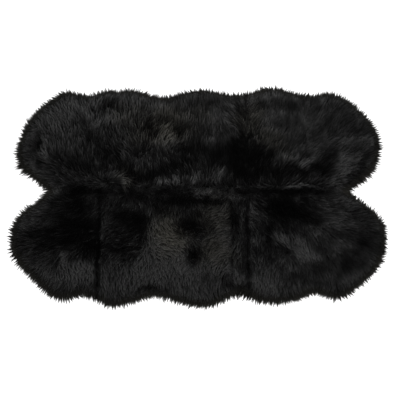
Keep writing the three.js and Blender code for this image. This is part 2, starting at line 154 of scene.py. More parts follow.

# Patches of fur that lie their own way or are painted darker or lighter than the rest, as
# painted shade and painted highlights: half their length and half their width, how far they are
# turned from +X, the heading of the fur in degrees from +X, how strongly it pulls there, and
# the tone that it adds, which is painted light or shade
Patch = namedtuple("Patch", "x y long wide turned heading pull tone")
PATCHES = [
    # the left end of the back pelt
    Patch(-0.835, 0.370, 0.160, 0.028, 62, 130, 0.3, 0.16),
    Patch(-0.870, 0.150, 0.080, 0.024, 100, 200, 0.3, 0.16),
    Patch(-0.826, 0.260, 0.070, 0.030, 90, 180, 1.5, -0.24),
    Patch(-0.776, 0.225, 0.060, 0.014, 90, 150, 1.0, 0.60),
    Patch(-0.775, 0.248, 0.022, 0.034, 0, 150, 0.3, 0.22),
    Patch(-0.811, 0.278, 0.016, 0.024, 0, 180, 0.2, -0.24),
    Patch(-0.842, 0.300, 0.020, 0.034, 0, 170, 0.2, 0.24),
    Patch(-0.690, 0.245, 0.070, 0.045, 90, 120, 0.4, -0.02),
    Patch(-0.690, 0.415, 0.080, 0.060, 30, 98, 1.3, 0.36),
    Patch(-0.651, 0.437, 0.040, 0.050, 0, 98, 0.3, 0.20),
    Patch(-0.661, 0.349, 0.024, 0.026, 0, 98, 0.3, 0.22),
    Patch(-0.665, 0.475, 0.036, 0.040, 0, 98, 0.2, 0.16),
    Patch(-0.580, 0.350, 0.060, 0.040, 30, 92, 1.0, -0.06),
    Patch(-0.815, 0.095, 0.040, 0.030, 120, 190, 1.0, 0.25),
    Patch(-0.740, 0.100, 0.060, 0.040, 0, 180, 1.6, 0.00),
    Patch(-0.666, 0.056, 0.026, 0.026, 0, 180, 0.2, -0.22),
    Patch(-0.665, 0.155, 0.060, 0.036, 0, 150, 0.4, -0.28),
    Patch(-0.595, 0.200, 0.046, 0.034, 0, 140, 0.4, 0.30),
    Patch(-0.560, 0.250, 0.070, 0.030, 60, 120, 0.3, -0.24),
    Patch(-0.510, 0.160, 0.080, 0.080, 0, 120, 0.3, -0.34),
    Patch(-0.445, 0.240, 0.080, 0.060, 90, 100, 0.3, -0.28),
    Patch(-0.400, 0.130, 0.034, 0.045, 0, 100, 0.2, 0.22),
    # the left half of the back pelt
    Patch(-0.582, 0.440, 0.055, 0.016, 130, 160, 1.5, 0.60),
    Patch(-0.552, 0.468, 0.024, 0.020, 0, 130, 0.2, 0.22),
    Patch(-0.486, 0.370, 0.020, 0.040, 0, 90, 0.5, -0.24),
    Patch(-0.515, 0.365, 0.020, 0.046, 0, 90, 0.2, 0.24),
    Patch(-0.452, 0.462, 0.036, 0.028, 0, 90, 0.3, -0.45),
    Patch(-0.428, 0.394, 0.056, 0.024, 0, 90, 0.8, 0.46),
    Patch(-0.400, 0.345, 0.060, 0.050, 90, 90, 1.2, 0.06),
    Patch(-0.300, 0.420, 0.050, 0.024, 90, 90, 0.2, -0.16),
    Patch(-0.330, 0.285, 0.060, 0.016, 10, 70, 1.4, 0.12),
    Patch(-0.372, 0.210, 0.055, 0.016, 100, 115, 1.4, 0.18),
    Patch(-0.245, 0.205, 0.070, 0.040, 0, 60, 0.8, -0.26),
    Patch(-0.240, 0.350, 0.055, 0.030, 90, 60, 0.5, -0.34),
    Patch(-0.168, 0.290, 0.054, 0.042, 60, 45, 1.8, 0.50),
    Patch(-0.171, 0.330, 0.030, 0.034, 0, 60, 0.2, -0.18),
    Patch(-0.096, 0.290, 0.036, 0.024, 0, 50, 0.2, 0.24),
    Patch(-0.150, 0.375, 0.034, 0.026, 0, 60, 0.6, -0.26),
    Patch(-0.110, 0.225, 0.060, 0.034, 0, 40, 0.8, -0.44),
    Patch(-0.055, 0.130, 0.026, 0.026, 0, 80, 0.4, -0.36),
    Patch(-0.030, 0.450, 0.180, 0.055, 0, 90, 1.2, 0.03),
    Patch(-0.028, 0.455, 0.024, 0.050, 0, 90, 0.2, -0.20),
    Patch(0.020, 0.500, 0.150, 0.030, 2, 90, 0.2, -0.28),
    Patch(0.007, 0.337, 0.028, 0.032, 0, 90, 0.2, -0.20),
    Patch(0.040, 0.345, 0.110, 0.030, 0, 90, 0.4, -0.02),
    Patch(0.078, 0.262, 0.034, 0.014, 90, 80, 0.6, 0.36),
    Patch(-0.015, 0.262, 0.060, 0.024, 0, 90, 0.4, -0.30),
    Patch(0.175, 0.312, 0.080, 0.044, 0, 90, 0.4, -0.22),
    # the hollow that winds along the middle of the back pelt, painted dark as shade
    Patch(-0.355, 0.120, 0.060, 0.026, 125, 90, 0.3, -0.50),
    Patch(-0.250, 0.090, 0.080, 0.026, 0, 80, 0.4, -0.50),
    Patch(-0.130, 0.135, 0.080, 0.030, 30, 70, 0.4, -0.50),
    Patch(-0.040, 0.195, 0.040, 0.036, 40, 90, 0.3, -0.28),
    Patch(0.010, 0.140, 0.060, 0.016, 90, 90, 0.8, 0.00),
    Patch(0.085, 0.142, 0.055, 0.034, 0, 90, 0.4, -0.30),
    Patch(0.060, 0.215, 0.060, 0.034, 0, 90, 0.3, -0.36),
    Patch(0.140, 0.195, 0.080, 0.060, 0, 90, 0.3, -0.44),
    Patch(0.230, 0.175, 0.110, 0.056, 90, 90, 0.2, -0.66),
    Patch(0.335, 0.178, 0.070, 0.046, 150, 60, 0.2, -0.66),
    Patch(0.270, 0.085, 0.064, 0.060, 0, 90, 0.2, -0.44),
    Patch(0.450, 0.110, 0.100, 0.022, 0, 0, 0.5, -0.50),
    Patch(0.560, 0.110, 0.060, 0.022, 10, 0, 0.5, -0.40),
    Patch(0.646, 0.156, 0.058, 0.034, 74, 0, 0.6, -0.62),
    Patch(0.688, 0.105, 0.034, 0.026, 0, 0, 0.6, -0.30),
    # the right half of the back pelt
    Patch(0.218, 0.445, 0.070, 0.016, 90, 170, 0.5, -0.32),
    Patch(0.180, 0.390, 0.130, 0.045, 90, 170, 1.6, 0.00),
    Patch(0.156, 0.405, 0.026, 0.026, 0, 130, 0.2, 0.20),
    Patch(0.330, 0.400, 0.110, 0.045, 90, 72, 1.6, 0.10),
    Patch(0.423, 0.440, 0.046, 0.024, 0, 70, 0.2, 0.20),
    Patch(0.487, 0.475, 0.030, 0.024, 0, 60, 0.2, -0.20),
    Patch(0.430, 0.300, 0.075, 0.065, 0, 48, 1.6, 0.16),
    Patch(0.363, 0.282, 0.046, 0.048, 0, 60, 0.2, -0.14),
    Patch(0.540, 0.245, 0.090, 0.050, 0, 22, 1.6, -0.08),
    Patch(0.545, 0.155, 0.040, 0.018, 15, 5, 1.6, 0.28),
    Patch(0.480, 0.140, 0.026, 0.024, 0, 5, 1.0, -0.30),
    Patch(0.548, 0.132, 0.030, 0.024, 0, 5, 0.6, 0.46),
    Patch(0.505, 0.018, 0.044, 0.016, 0, 5, 0.6, 0.46),
    Patch(0.425, 0.192, 0.050, 0.014, 165, 30, 1.6, 0.20),
    Patch(0.405, 0.172, 0.018, 0.032, 0, 30, 0.2, 0.24),
    Patch(0.557, 0.370, 0.080, 0.008, 90, 60, 0.3, 0.30),
    Patch(0.650, 0.220, 0.080, 0.050, 0, 5, 1.4, 0.05),
    Patch(0.640, 0.360, 0.085, 0.070, 45, 50, 1.2, -0.08),
    Patch(0.616, 0.463, 0.026, 0.024, 0, 60, 0.2, -0.22),
    Patch(0.762, 0.415, 0.036, 0.040, 0, 30, 0.2, -0.16),
    Patch(0.555, 0.455, 0.070, 0.046, 0, 60, 0.2, -0.11),
    Patch(0.595, 0.402, 0.100, 0.048, 0, 60, 0.6, 0.14),
    Patch(0.722, 0.138, 0.054, 0.036, 50, 0, 1.0, 0.38),
    Patch(0.750, 0.092, 0.024, 0.020, 0, 0, 0.2, 0.22),
    Patch(0.770, 0.300, 0.050, 0.040, 90, 20, 0.6, 0.14),
    Patch(0.835, 0.335, 0.075, 0.035, 115, 20, 0.3, -0.16),
    Patch(0.760, 0.400, 0.070, 0.045, 130, 30, 0.6, -0.20),
    Patch(0.380, 0.475, 0.150, 0.030, 0, 75, 0.2, -0.12),
    Patch(0.329, 0.486, 0.026, 0.018, 0, 75, 0.2, -0.20),
    Patch(0.470, 0.370, 0.040, 0.080, 0, 55, 0.2, -0.16),
    Patch(0.836, 0.140, 0.075, 0.017, 64, 340, 0.4, -0.40),
    Patch(0.768, 0.062, 0.065, 0.015, 38, 340, 0.4, -0.36),
    Patch(0.852, 0.092, 0.090, 0.013, 48, 320, 0.2, 0.24),
    # along the seam
    Patch(-0.570, 0.040, 0.130, 0.035, 0, 184, 1.6, 0.08),
    Patch(-0.470, -0.042, 0.060, 0.060, 0, 184, 0.2, 0.36),
    Patch(-0.440, 0.075, 0.060, 0.040, 0, 330, 1.0, 0.00),
    Patch(-0.400, 0.030, 0.060, 0.030, 0, 330, 0.4, -0.22),
    Patch(-0.352, 0.050, 0.040, 0.020, 110, 300, 1.5, 0.72),
    Patch(-0.260, 0.034, 0.060, 0.034, 0, 80, 0.4, -0.32),
    Patch(-0.201, 0.068, 0.022, 0.018, 0, 80, 0.2, -0.24),
    Patch(-0.140, 0.052, 0.052, 0.017, 5, 80, 0.8, 0.66),
    Patch(-0.074, 0.085, 0.024, 0.020, 0, 80, 0.4, -0.24),
    Patch(-0.092, 0.094, 0.034, 0.022, 0, 80, 0.2, -0.22),
    Patch(-0.024, 0.018, 0.034, 0.010, 0, 80, 0.2, -0.22),
    Patch(-0.028, 0.052, 0.014, 0.022, 0, 80, 0.5, 0.30),
    Patch(0.045, 0.050, 0.040, 0.030, 0, 80, 0.3, -0.16),
    Patch(0.145, 0.055, 0.050, 0.030, 0, 80, 0.3, -0.28),
    Patch(0.112, 0.092, 0.036, 0.022, 60, 60, 0.8, 0.40),
    Patch(0.126, 0.132, 0.022, 0.018, 0, 60, 0.2, 0.24),
    Patch(0.036, -0.005, 0.054, 0.011, 176, 10, 1.5, 1.15),
    Patch(-0.076, -0.012, 0.013, 0.012, 0, 270, 0.5, 0.55),
    Patch(0.302, 0.045, 0.028, 0.024, 0, 60, 0.8, 0.36),
    Patch(0.288, 0.072, 0.042, 0.020, 0, 60, 0.2, -0.24),
    Patch(0.470, 0.026, 0.038, 0.018, 0, 30, 0.8, 0.24),
    Patch(0.440, 0.066, 0.056, 0.022, 0, 30, 0.4, -0.36),
    Patch(0.526, 0.022, 0.032, 0.018, 0, 5, 0.2, 0.24),
    Patch(0.590, 0.068, 0.100, 0.032, 0, 20, 0.6, -0.20),
    Patch(-0.190, -0.030, 0.120, 0.028, 0, 270, 0.2, -0.45),
    Patch(-0.380, -0.046, 0.110, 0.034, 0, 270, 0.2, -0.34),
    Patch(0.000, -0.064, 0.140, 0.024, 0, 270, 0.2, -0.84),
    Patch(0.430, -0.016, 0.220, 0.014, 0, 270, 0.2, -0.60),
    Patch(0.690, -0.012, 0.030, 0.016, 0, 0, 0.6, 0.22),
    Patch(0.641, -0.011, 0.045, 0.085, 0, 0, 0.2, -0.17),
    Patch(0.151, -0.040, 0.042, 0.058, 0, 270, 0.2, 0.17),
    Patch(-0.733, -0.018, 0.026, 0.024, 0, 180, 0.2, 0.50),
    # the left end of the front pelt
    Patch(-0.840, -0.385, 0.150, 0.028, 125, 220, 0.3, 0.14),
    Patch(-0.870, -0.170, 0.080, 0.024, 80, 170, 0.3, 0.14),
    Patch(-0.820, -0.160, 0.070, 0.070, 0, 180, 2.2, 0.10),
    Patch(-0.600, -0.055, 0.120, 0.055, 0, 200, 0.3, -0.46),
    Patch(-0.556, -0.195, 0.100, 0.072, 100, 200, 1.2, -0.55),
    Patch(-0.675, -0.240, 0.080, 0.080, 20, 200, 1.0, -0.44),
    Patch(-0.825, -0.275, 0.060, 0.070, 0, 190, 0.4, -0.18),
    Patch(-0.530, -0.310, 0.060, 0.034, 90, 200, 0.4, -0.34),
    Patch(-0.556, -0.425, 0.050, 0.040, 90, 270, 0.9, 0.85),
    Patch(-0.652, -0.365, 0.040, 0.024, 110, 250, 0.9, 0.60),
    Patch(-0.630, -0.450, 0.110, 0.040, 0, 265, 1.0, 0.22),
    Patch(-0.660, -0.488, 0.030, 0.026, 0, 265, 0.2, 0.36),
    Patch(-0.812, -0.416, 0.046, 0.036, 0, 220, 0.2, 0.44),
    Patch(-0.780, -0.361, 0.026, 0.026, 0, 220, 0.2, -0.22),
    Patch(-0.865, -0.195, 0.040, 0.080, 0, 180, 0.2, -0.12),
    Patch(-0.775, -0.444, 0.022, 0.034, 0, 220, 0.2, 0.20),
    Patch(-0.587, -0.428, 0.046, 0.050, 0, 265, 0.2, 0.14),
    Patch(-0.466, -0.225, 0.022, 0.009, 90, 300, 0.8, 0.50),
    # the left half of the front pelt
    Patch(-0.430, -0.105, 0.045, 0.045, 0, 270, 0.5, 0.00),
    Patch(-0.325, -0.155, 0.075, 0.048, 165, 180, 0.6, -0.38),
    Patch(-0.350, -0.250, 0.120, 0.085, 0, 180, 1.9, -0.32),
    Patch(-0.252, -0.190, 0.030, 0.024, 0, 180, 0.4, -0.26),
    Patch(-0.280, -0.275, 0.032, 0.036, 0, 180, 0.2, -0.26),
    Patch(-0.370, -0.440, 0.080, 0.045, 20, 270, 0.6, 0.00),
    Patch(-0.390, -0.508, 0.060, 0.026, 0, 270, 0.2, 0.20),
    Patch(-0.285, -0.430, 0.070, 0.045, 60, 270, 0.3, 0.26),
    Patch(-0.295, -0.440, 0.085, 0.046, 0, 270, 0.2, 0.14),
    Patch(-0.180, -0.262, 0.092, 0.086, 100, 350, 2.2, 0.62),
    Patch(-0.224, -0.300, 0.095, 0.026, 90, 320, 0.2, 0.30),
    Patch(-0.102, -0.212, 0.024, 0.024, 0, 340, 0.3, 0.22),
    Patch(-0.073, -0.368, 0.024, 0.032, 0, 270, 0.3, 0.24),
    Patch(-0.240, -0.372, 0.040, 0.030, 0, 262, 0.2, 0.22),
    Patch(-0.226, -0.365, 0.046, 0.070, 0, 262, 0.2, 0.16),
    Patch(-0.280, -0.109, 0.048, 0.044, 0, 270, 0.2, 0.20),
    Patch(-0.130, -0.350, 0.080, 0.045, 0, 262, 1.0, 0.42),
    Patch(-0.220, -0.395, 0.060, 0.042, 0, 262, 1.0, 0.46),
    Patch(-0.190, -0.458, 0.065, 0.030, 0, 270, 0.2, 0.20),
    Patch(-0.130, -0.116, 0.130, 0.036, 175, 270, 0.4, -0.26),
    Patch(-0.040, -0.440, 0.200, 0.050, 0, 270, 0.8, 0.34),
    Patch(-0.008, -0.472, 0.030, 0.030, 0, 270, 0.2, -0.20),
    Patch(0.110, -0.475, 0.050, 0.046, 0, 270, 0.2, -0.22),
    Patch(-0.034, -0.205, 0.064, 0.028, 170, 270, 0.2, -0.50),
    # round the pits in the middle of the front pelt and beside them
    Patch(-0.060, -0.276, 0.040, 0.018, 20, 330, 1.0, 0.60),
    Patch(0.045, -0.280, 0.060, 0.020, 90, 200, 1.0, 0.20),
    Patch(0.047, -0.200, 0.022, 0.046, 0, 184, 0.2, -0.24),
    Patch(0.108, -0.225, 0.150, 0.042, 90, 184, 2.2, 0.30),
    Patch(0.048, -0.362, 0.040, 0.048, 0, 262, 0.5, 0.36),
    Patch(0.085, -0.110, 0.050, 0.030, 0, 184, 0.6, -0.18),
    Patch(0.168, -0.360, 0.060, 0.018, 90, 184, 0.6, 0.24),
    Patch(0.140, -0.170, 0.050, 0.024, 90, 184, 0.6, -0.20),
    Patch(0.136, -0.160, 0.032, 0.026, 0, 184, 0.2, -0.18),
    Patch(0.215, -0.083, 0.024, 0.024, 0, 310, 0.2, -0.24),
    Patch(0.190, -0.060, 0.036, 0.024, 0, 310, 0.6, -0.16),
    # the right half of the front pelt
    Patch(0.184, -0.150, 0.060, 0.022, 90, 280, 0.4, -0.46),
    Patch(0.205, -0.290, 0.018, 0.034, 0, 280, 0.2, -0.24),
    Patch(0.279, -0.284, 0.024, 0.022, 0, 290, 0.2, 0.24),
    Patch(0.220, -0.380, 0.130, 0.026, 90, 270, 0.5, -0.16),
    Patch(0.272, -0.345, 0.040, 0.024, 90, 280, 0.4, -0.24),
    Patch(0.262, -0.440, 0.040, 0.036, 0, 270, 0.2, -0.22),
    Patch(0.258, -0.494, 0.024, 0.012, 0, 270, 0.2, 0.24),
    Patch(0.288, -0.130, 0.050, 0.042, 90, 320, 1.0, 0.12),
    Patch(0.300, -0.050, 0.036, 0.030, 0, 320, 0.3, -0.20),
    Patch(0.320, -0.470, 0.070, 0.056, 90, 270, 1.0, 0.32),
    Patch(0.345, -0.265, 0.080, 0.030, 100, 290, 0.5, -0.32),
    Patch(0.400, -0.090, 0.075, 0.055, 0, 340, 0.4, -0.68),
    Patch(0.500, -0.130, 0.100, 0.055, 170, 340, 0.4, -0.66),
    Patch(0.400, -0.260, 0.040, 0.020, 130, 310, 1.0, 0.70),
    Patch(0.374, -0.220, 0.028, 0.032, 0, 300, 0.6, -0.34),
    Patch(0.512, -0.318, 0.066, 0.030, 140, 305, 1.4, 0.50),
    Patch(0.465, -0.215, 0.050, 0.022, 160, 320, 1.0, -0.18),
    Patch(0.560, -0.235, 0.040, 0.040, 90, 320, 0.6, 0.14),
    Patch(0.450, -0.060, 0.070, 0.010, 15, 15, 1.5, 0.16),
    Patch(0.570, -0.045, 0.100, 0.022, 0, 0, 0.6, -0.26),
    Patch(0.670, -0.395, 0.110, 0.045, 5, 290, 0.8, -0.16),
    Patch(0.420, -0.395, 0.050, 0.034, 0, 280, 0.6, 0.26),
    Patch(0.483, -0.397, 0.034, 0.024, 0, 280, 0.2, -0.20),
    Patch(0.368, -0.405, 0.050, 0.075, 0, 280, 0.2, -0.14),
    Patch(0.700, -0.140, 0.120, 0.070, 170, 0, 1.8, 0.15),
    Patch(0.680, -0.305, 0.050, 0.030, 0, 330, 0.8, 0.26),
    Patch(0.815, -0.265, 0.090, 0.070, 90, 350, 0.5, -0.26),
    Patch(0.828, -0.125, 0.075, 0.044, 0, 10, 0.2, -0.24),
    Patch(0.780, -0.430, 0.080, 0.030, 45, 320, 0.5, -0.08),
    Patch(0.840, -0.400, 0.054, 0.028, 50, 320, 0.2, 0.22),
    Patch(0.745, -0.341, 0.040, 0.042, 0, 320, 0.2, 0.14),
    Patch(0.868, -0.298, 0.048, 0.048, 0, 340, 0.2, -0.15),
    Patch(0.790, -0.072, 0.040, 0.030, 0, 10, 0.2, 0.15),
    Patch(0.560, -0.387, 0.058, 0.044, 0, 290, 0.2, 0.14),
    Patch(0.735, -0.395, 0.060, 0.034, 30, 320, 0.4, -0.12),
    # where the fur turns down over the rim between the front scallops, painted dark as shade
    Patch(-0.570, -0.506, 0.055, 0.010, 0, 270, 0.2, -0.40),
    Patch(-0.225, -0.508, 0.095, 0.010, 6, 270, 0.2, -0.50),
    Patch(0.190, -0.498, 0.060, 0.010, 4, 270, 0.2, -0.30),
    Patch(0.560, -0.482, 0.050, 0.010, 0, 280, 0.2, -0.30),
]

# How sharply a patch ends: at 1 it would fade out like a bell
PATCH_FIRMNESS = 1.6

# Where the fur is tousled or lies sleek: the share by which its locks differ more or less
Area = namedtuple("Area", "x y long wide turned more")
TOUSLED_AREAS = [
    Area(-0.620, 0.400, 0.200, 0.140, 0, 0.20),
    Area(-0.200, 0.430, 0.120, 0.070, 0, -0.25),
    Area(-0.270, 0.220, 0.180, 0.120, 0, 0.35),
    Area(0.070, 0.450, 0.220, 0.100, 0, -0.55),
    Area(0.100, 0.200, 0.120, 0.080, 0, -0.40),
    Area(0.265, 0.290, 0.050, 0.150, 0, 0.90),
    Area(0.480, 0.400, 0.140, 0.160, 0, -0.75),
    Area(0.720, 0.290, 0.160, 0.200, 0, -0.45),
    Area(-0.300, -0.310, 0.110, 0.110, 0, 0.50),
    Area(-0.500, -0.270, 0.060, 0.060, 0, 0.80),
    Area(-0.040, -0.270, 0.080, 0.080, 0, 0.40),
    Area(0.160, -0.480, 0.240, 0.070, 0, -0.50),
    Area(0.680, -0.380, 0.260, 0.120, 8, -0.80),
    Area(0.700, -0.180, 0.240, 0.120, 0, -0.45),
]

# Where the fibres of the pile are a little brown
BROWN_AREAS = [
    Area(-0.330, 0.390, 0.090, 0.050, 0, 0.45),
    Area(-0.170, 0.320, 0.130, 0.085, 10, 0.90),
    Area(0.000, 0.380, 0.060, 0.060, 0, 0.35),
    Area(0.270, 0.355, 0.050, 0.090, 0, 0.75),
    Area(0.350, 0.250, 0.090, 0.050, 150, 0.70),
    Area(-0.350, 0.065, 0.060, 0.030, 0, 0.60),
    Area(-0.140, -0.215, 0.080, 0.095, 0, 1.00),
    Area(0.090, -0.130, 0.080, 0.100, 0, 0.65),
    Area(0.090, -0.300, 0.080, 0.060, 0, 0.75),
]

# Smooth random changes: how large they are, over about what distance, and their seed
Waver = namedtuple("Waver", "amount size seed")
HEIGHT_WAVERS = [Waver(0.003, 0.075, 11)]
TONE_WAVERS = [Waver(0.08, 0.110, 21), Waver(0.18, 0.045, 22), Waver(0.14, 0.020, 23)]
LIE_WAVERS = [Waver(0.40, 0.130, 31), Waver(0.36, 0.050, 32)]
TUFT_TURN_WAVERS = [Waver(0.52, 0.120, 41)]
TUFT_LENGTH_WAVERS = [Waver(0.16, 0.070, 42)]
SEAM_LEAN_WAVERS = [Waver(1.30, 0.070, 51)]
SEAM_SHADE_WAVERS = [Waver(0.25, 0.140, 52)]
PATCH_WAVERS_X = [Waver(0.016, 0.050, 61), Waver(0.008, 0.020, 62)]
PATCH_WAVERS_Y = [Waver(0.016, 0.050, 63), Waver(0.008, 0.020, 64)]
BROWN_WAVERS_X = [Waver(0.018, 0.040, 65)]
BROWN_WAVERS_Y = [Waver(0.018, 0.040, 66)]
CREASE_WAVERS = [Waver(0.60, 0.055, 71)]

# The middle stretch of the rug, off which the fur is brushed straight to the back and front,
# and how near to it the fur still stands up
SPINE_HALF = 0.56
SPINE_STANDING = 0.02

# The rim: how near to it the fur turns outward, how strongly, how much lighter it is painted
# there as painted light against its shade, and how far it thins out on the floor
RIM_TURN_REACH = 0.045
RIM_TURN_PULL = 1.3
RIM_PAINTED_LIGHT = 0.34
RIM_THINNEST = 0.15

# The seam: how wide the fur parts there, where and how strongly the back pelt's fur laps over
# it, where and how darkly painted shade lies along it, and how close to it hairs are rooted
SEAM_PARTING = 0.012
SEAM_LAP_START = 0.004
SEAM_LAP_WIDTH = 0.016
SEAM_LAP_PULL = 1.5
SEAM_SHADE = 0.32
SEAM_SHADE_PLACE = -0.010
SEAM_SHADE_WIDTH = 0.014
SEAM_CLEARANCE = 0.001

# Hairs, gathered into locks. The undercoat slants up from the cloth, and the top coat lies
# over it: "low" and "high" are the heights of a hair's root and tip as shares of the pile's,
# and "stray" is how wildly it turns where the fur parts
Coat = namedtuple("Coat", "hairs length radius low high stray")
UNDERCOAT = Coat(3, 0.034, 0.0014, 0.28, 0.74, 1.6)
TOP_COAT = Coat(8, 0.036, 0.0008, 0.52, 0.92, 0.7)

# The field that a pelt's locks are laid out over: half its length, where it starts and ends
# from the seam, and what is left free of locks at the rim and the seam
FIELD_HALF = 0.93
FIELD_START = 0.005
FIELD_END = 0.58
RIM_MARGIN = 0.003
SEAM_MARGIN = 0.002

# Locks: how far apart, how far off their places as shares of that, how wide and long, and how
# far they are turned, which is further at the seam
LOCK_SPACING = 0.0090
LOCK_JITTER = 0.42
LOCK_JITTER_TO_SEAM = 0.30
LOCK_RADIUS = 0.0050
LOCK_SIZES = (0.75, 1.15)
LOCK_TURN = 0.18
SEAM_TURN = 0.7
SEAM_TURN_WIDTH = 0.018

# A lock's reach: at least this far, and past the cut edge by these shares of the tufts' reach
SHORTEST_REACH = 0.010
OVERHANG = (0.05, 0.45)

# A lock's height: light locks lie a little lower, each differs, and it falls off to the edge
LIFT_BY_TONE = 0.10
LIFT_SPREAD = 0.05
LOCK_ROUNDING = 0.16

# The hairs of a lock, as shares: lengths, widths, heights of the roots and tips, how far the
# tips gather, how much shorter strays are, and how far the roots sink where the fur parts
HAIR_LENGTHS = (0.70, 1.10)
HAIR_WIDTHS = (0.7, 1.3)
ROOT_HEIGHTS = (0.85, 1.15)
TIP_UNEVENNESS = (-0.15, 0.11)
GATHERING = (0.4, 1.0)
STRAY_SHORTENING = 0.35
PARTED_SINKING = 0.7

# How low over the floor a hair may lie
FLOOR_CLEARANCE = 0.0004

# Tones: the middle one, how strongly the tone laid over the fur counts, painted light and
# shade among it, and how far along a lock's reach it is read. Locks differ in tone, and painted
# shade makes them darker at the edge than in the middle. The contrast grows in dark fur, and
# the brightness that it would add is taken back
BASE_TONE = 0.706
TONE_SHARE = 0.76
TONE_PLACE = 0.75
LOCK_CONTRAST = 0.11
LOCK_EDGE_PAINTED_SHADE = 0.24
HAIR_CONTRAST = 0.09
DARK_TONE = -0.5
DARK_CONTRAST = 0.5
CONTRAST_GAIN = 0.045

# How bright the fibres are at each shade, the tint of the brown ones, how much darker they are
# at the root, and their grain
FIBRE_SHADES = [(0.00, 0.0006), (0.25, 0.0026), (0.50, 0.0099), (0.75, 0.0411), (1.00, 0.1845)]
BROWN_TINT = (1.05, 1.01, 0.875, 1.0)
ROOT_SHADE = 0.42
FIBRE_GRAIN = 0.10

# The bake's cells: a column for each tone and a row for each step of brown, with margins
TONE_COLUMNS = 256
BROWN_ROWS = 4
COLUMN_MARGIN = 0.2
ROW_MARGIN = 0.02

# Tufts that spread over the floor round the rim: a fringe with longer spikes over it, which
# are coarser along the back. "shortest" and "longest" are how far they reach, "spread" is how
# far apart their hairs are rooted, and "point" is the most that is left of it at their tips
Tuft = namedtuple("Tuft", "spacing hairs shortest longest spread point")
TUFTS = {
    BACK: [
        Tuft(0.0060, 16, 0.017, 0.032, 0.0028, 0.25),
        Tuft(0.0104, 32, 0.032, 0.046, 0.0029, 0.08),
    ],
    FRONT: [
        Tuft(0.0060, 16, 0.019, 0.033, 0.0028, 0.25),
        Tuft(0.0096, 28, 0.031, 0.046, 0.0027, 0.11),
    ],
}

# How far tufts reach as a rule, how far off their places they stand, how far they are turned,
# how their length is scaled, how much lighter than the pile they are, and how they differ
TUFT_REACH = 0.030
TUFT_JITTER = 0.2
TUFT_TURN = 0.12
TUFT_LENGTH = 0.94
TUFT_TONE = 0.15
TUFT_CONTRAST = 0.09

# The hairs of a tuft: how far inside the cut edge they are rooted, how long and wide they are,
# how many of them are long, how high over the floor they lie, and how they differ in tone
TUFT_ROOTS = (0.002, 0.022)
TUFT_HAIR_LENGTHS = (0.35, 1.0)
TUFT_FULLNESS = 0.6
TUFT_HAIR_WIDTHS = (1.0, 1.8)
TUFT_ROOT_LOWEST = 0.0015
TUFT_ROOT_SHARE = 0.65
TUFT_TIP_LOWEST = 0.0008
TUFT_TIP_SHARE = 0.5
TUFT_HAIR_CONTRAST = 0.1

# A tuft that would cross the seam by this much turns along it, with this share left across
SEAM_CROSSING = 0.004
SEAM_SLANT = 0.15

# Where the tufts reach further out, by a share of their length: at the ends of the seam, in
# dips of the rim and where it bulges
Bulge = namedtuple("Bulge", "x y spread more")
BULGES = [
    Bulge(-0.718, 0.000, 0.030, 0.35),
    Bulge(0.718, 0.000, 0.030, 0.35),
    Bulge(-0.852, 0.120, 0.040, 0.50),
    Bulge(-0.678, 0.531, 0.040, 0.20),
    Bulge(0.808, 0.442, 0.040, 0.20),
    Bulge(-0.886, -0.306, 0.035, 0.25),
    Bulge(0.190, -0.509, 0.035, 0.45),
    Bulge(0.355, -0.553, 0.040, 0.20),
]

# The backing cloth, and the dense underfur on it as a share of the fur's height. Its top is
# shaped on a field of points: the step between them, half the field's length, its end from
# the seam, and what is left free of points at the rim
CLOTH_THICKNESS = 0.0025
UNDERFUR_SHARE = 0.36
UNDERFUR_CELL = 0.012
UNDERFUR_HALF = 0.90
UNDERFUR_END = 0.57
UNDERFUR_MARGIN = 0.016

# How far the underfur stands back from the cloth's edge and off its face, how much of that it
# stands back from the seam, and the number of points along the seam
UNDERFUR_INSET = 0.004
UNDERFUR_LIFT = 0.0002
SEAM_INSET = 0.2
SEAM_POINTS = 90

# The pieces of the pile on each pelt, and the seeds of its hairs
STRETCHES = [("left", -1.0, -0.3), ("middle", -0.3, 0.3), ("right", 0.3, 1.0)]
PILE_SEEDS = {BACK: 110, FRONT: 90}
RIM_SEEDS = {BACK: 201, FRONT: 199}

# What counts as no distance at all
TINY = 1e-6


def bell(distance, spread):
    return np.exp(-0.5 * (distance / spread) ** 2)


def smoothstep(value):
    value = np.clip(value, 0.0, 1.0)
    return value * value * (3.0 - 2.0 * value)


def drift(x, y, size, seed):
    """A smooth random value from -1 to 1 that changes over about size metres."""
    cells = 256
    lattice = np.random.default_rng(seed).uniform(-1.0, 1.0, (cells, cells))
    u = x / size + 0.5 * cells
    v = y / size + 0.5 * cells
    i = np.floor(u).astype(int)
    j = np.floor(v).astype(int)
    s = smoothstep(u - i)
    t = smoothstep(v - j)
    low = lattice[i % cells, j % cells] * (1 - s) + lattice[(i + 1) % cells, j % cells] * s
    high = (
        lattice[i % cells, (j + 1) % cells] * (1 - s)
        + lattice[(i + 1) % cells, (j + 1) % cells] * s
    )
    return low * (1 - t) + high * t


def wavering(x, y, wavers):
    return sum(waver.amount * drift(x, y, waver.size, waver.seed) for waver in wavers)


def turned(u, v, angle):
    """Vectors, turned to the left by an angle."""
    return u * np.cos(angle) - v * np.sin(angle), u * np.sin(angle) + v * np.cos(angle)


def unit(vectors):
    return vectors / np.maximum(np.linalg.norm(vectors, axis=1, keepdims=True), TINY)


def smooth_line(rows, side, per_span=5):
    """The cut edge of the back or the front pelt as a smooth line of points (x, y)."""
    points = np.array(rows) * (1.0, side)
    before = 2 * points[0] - points[1]
    after = 2 * points[-1] - points[-2]
    p = np.vstack([before, points, after])
    line = []
    for k in range(len(points) - 1):
        a, b, c, d = p[k : k + 4]
        for t in np.linspace(0, 1, per_span, endpoint=False):
            line.append(
                0.5
                * (
                    2 * b
                    + (c - a) * t
                    + (2 * a - 5 * b + 4 * c - d) * t**2
                    + (3 * b - a - 3 * c + d) * t**3
                )
            )
    line.append(points[-1])
    return np.array(line)


